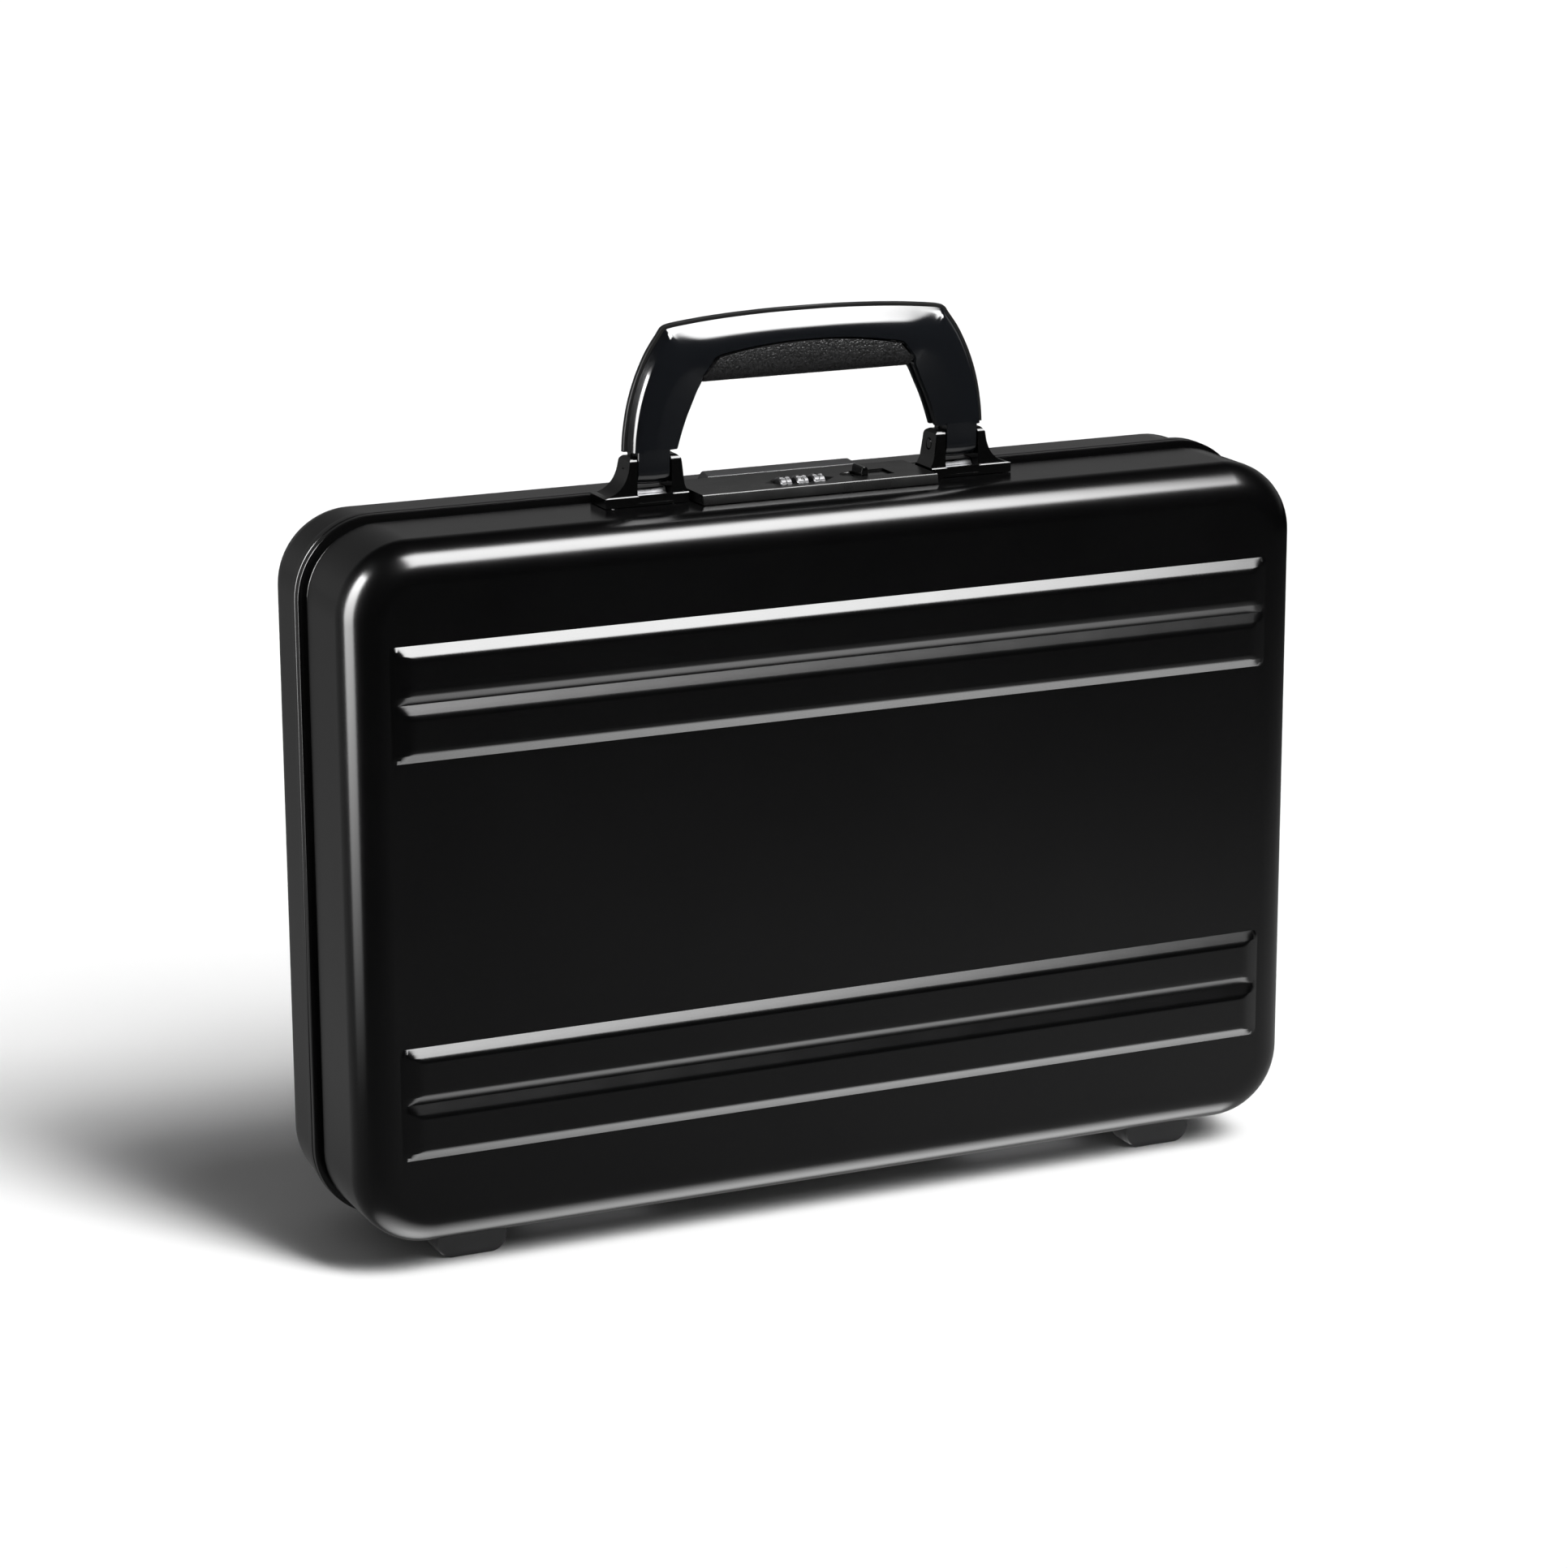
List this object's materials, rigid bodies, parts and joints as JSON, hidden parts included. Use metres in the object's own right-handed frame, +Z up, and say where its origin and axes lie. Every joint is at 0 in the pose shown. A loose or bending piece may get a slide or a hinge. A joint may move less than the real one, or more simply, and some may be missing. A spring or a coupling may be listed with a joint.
{
  "type": "attache case",
  "caption": "Slim upright aluminium attache case with paired raised ribs, a fold-down handle and a combination lock on top.",
  "frame": {"origin": "middle of the case on the surface its feet stand on", "axes": "+X along the width, +Y from the front half towards the lid, +Z up"},
  "size_m": [0.462, 0.1132, 0.4066],
  "materials": {
    "black_anodised": "fine bead-blasted satin black anodised sheet",
    "frame_anodised": "satin black anodised extrusion with brighter edges",
    "black_lacquer": "fine-grained matte black lacquer on die-cast metal",
    "gloss_black": "smooth gloss black moulding",
    "satin_black": "satin black die-cast core",
    "black_rubber": "matte textured black rubber",
    "grey_foot": "matte dark grey moulded plastic",
    "steel": "plain bright steel",
    "silver_dial": "bright plated dials",
    "charcoal_lining": "charcoal woven lining on thin board"
  },
  "bodies": {
    "front_half": {"front_shell": "black_anodised", "front_frame": "frame_anodised", "frame_seal": "black_rubber", "lock_plate": "black_lacquer", "lock_housing": "steel", "dial_shaft": "steel", "latch_spring": "steel", "handle_bracket_left": "black_lacquer", "handle_bracket_right": "black_lacquer", "handle_pin_left": "steel", "handle_pin_right": "steel", "handle_stop_left": "steel", "handle_stop_right": "steel", "bracket_screw_left_inner": "steel", "bracket_screw_left_outer": "steel", "bracket_screw_right_inner": "steel", "bracket_screw_right_outer": "steel", "hinge_front_leaf_left": "steel", "hinge_front_leaf_right": "steel", "hinge_pin_left": "steel", "hinge_pin_right": "steel", "front_foot_left": "grey_foot", "front_foot_right": "grey_foot", "front_lining": "charcoal_lining"},
    "lid": {"rear_shell": "black_anodised", "rear_frame": "frame_anodised", "keeper_bar": "black_lacquer", "strike_plate": "steel", "hinge_rear_leaf_left": "steel", "hinge_rear_leaf_right": "steel", "rear_foot_left": "grey_foot", "rear_foot_right": "grey_foot", "rear_lining": "charcoal_lining", "organiser_panel": "charcoal_lining"},
    "handle": {"handle_core": "satin_black", "handle_front_cover": "gloss_black", "handle_rear_cover": "gloss_black", "handle_grip": "black_rubber"},
    "dial_one": {"dial_1": "silver_dial"},
    "dial_two": {"dial_2": "silver_dial"},
    "dial_three": {"dial_3": "silver_dial"},
    "slider": {"slide_button": "black_lacquer", "latch_bar": "steel"}
  },
  "joints": [
    {"name": "lid_hinge", "type": "hinge", "parent": "front_half", "child": "lid", "pos_m": [0, 0.0082, 0.0081], "axis": [-1, 0, 0], "range_deg": [0, 100]},
    {"name": "handle_fold", "type": "hinge", "parent": "front_half", "child": "handle", "pos_m": [0, -0.01, 0.3401], "axis": [1, 0, 0], "range_deg": [0, 90]},
    {"name": "slider_travel", "type": "slide", "parent": "front_half", "child": "slider", "axis": [1, 0, 0], "range_m": [0, 0.008], "stiffness_N_per_m": 250},
    {"name": "dial_one_turn", "type": "hinge", "parent": "front_half", "child": "dial_one", "pos_m": [-0.0126, -0.015, 0.3266], "axis": [1, 0, 0], "continuous": true},
    {"name": "dial_two_turn", "type": "hinge", "parent": "front_half", "child": "dial_two", "pos_m": [-0.0046, -0.015, 0.3266], "axis": [1, 0, 0], "continuous": true},
    {"name": "dial_three_turn", "type": "hinge", "parent": "front_half", "child": "dial_three", "pos_m": [0.0034, -0.015, 0.3266], "axis": [1, 0, 0], "continuous": true}
  ]
}
